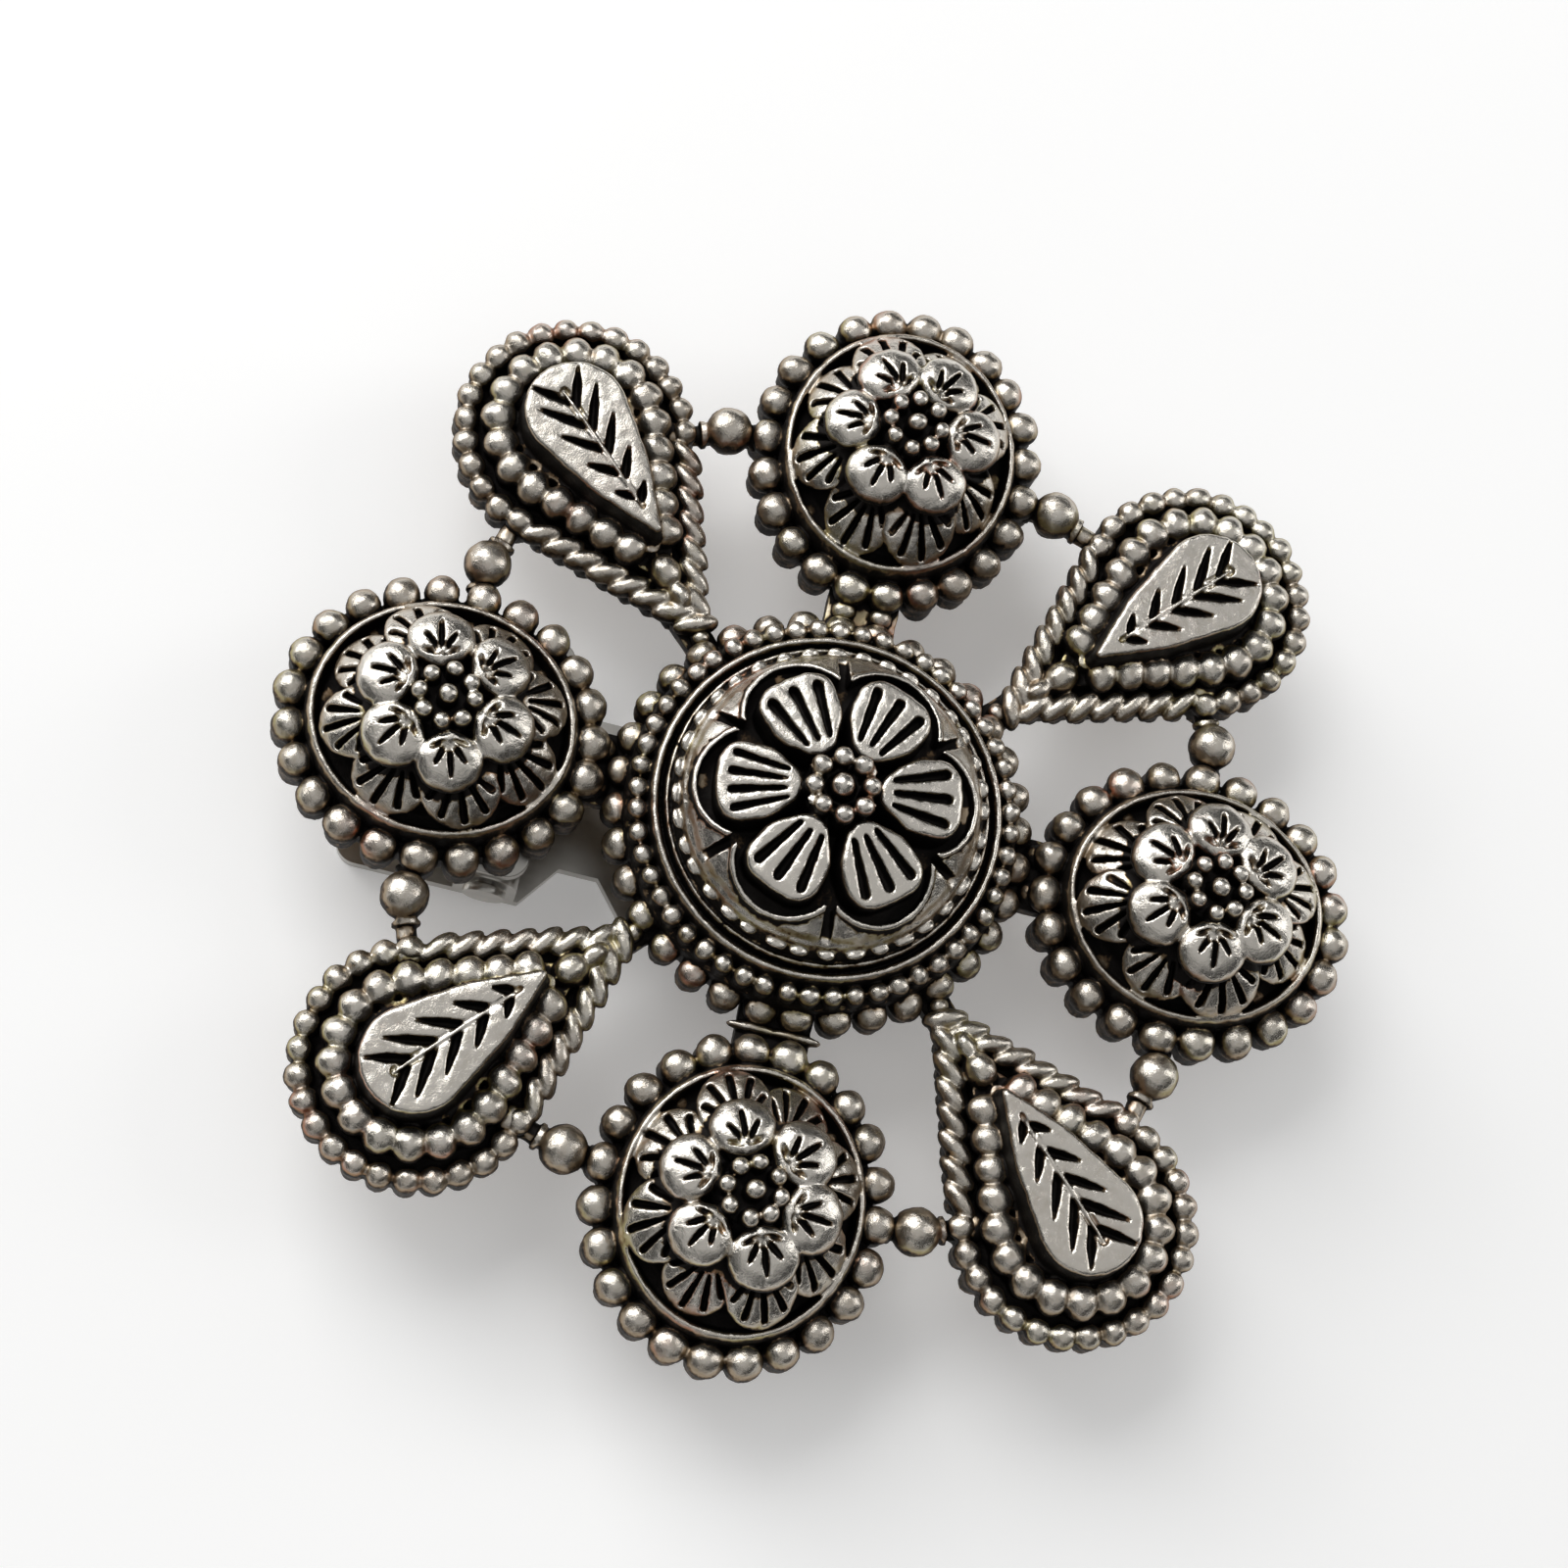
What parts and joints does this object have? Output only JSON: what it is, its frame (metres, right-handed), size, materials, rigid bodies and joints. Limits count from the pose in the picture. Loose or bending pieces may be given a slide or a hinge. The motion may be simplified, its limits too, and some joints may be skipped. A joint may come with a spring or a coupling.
{
  "type": "dress clip",
  "caption": "Openwork silver-tone dress clip: domed flowers and beaded leaf drops round a flower medallion, with a sprung, toothed lever behind.",
  "frame": {"origin": "on the surface that the clip lies on, straight below the centre of the ornament, in the flat outer face of the lever", "axes": "+Z out of the face of the ornament, +Y towards the top flower, +X towards the right flower; the lever's hinge is on the -X side"},
  "size_m": [0.0542, 0.055, 0.0138],
  "materials": {
    "antiqued_silver": "cast white metal, silver plated and oxidised: polished high points, near-black hollows",
    "plated_steel": "satin nickel plate",
    "spring_steel": "drawn wire"
  },
  "bodies": {
    "casting": {"ornament": "antiqued_silver", "hinge_pin": "plated_steel", "spring": "spring_steel"},
    "lever": {"clip_lever": "plated_steel"}
  },
  "joints": [
    {"name": "lever_hinge", "type": "hinge", "parent": "casting", "child": "lever", "pos_m": [-0.0149, 0, 0.00265], "axis": [0, 1, 0], "range_deg": [0, 30], "stiffness_Nm_per_rad": 0.03, "springref_deg": -17.19, "deforming": ["spring"]}
  ]
}
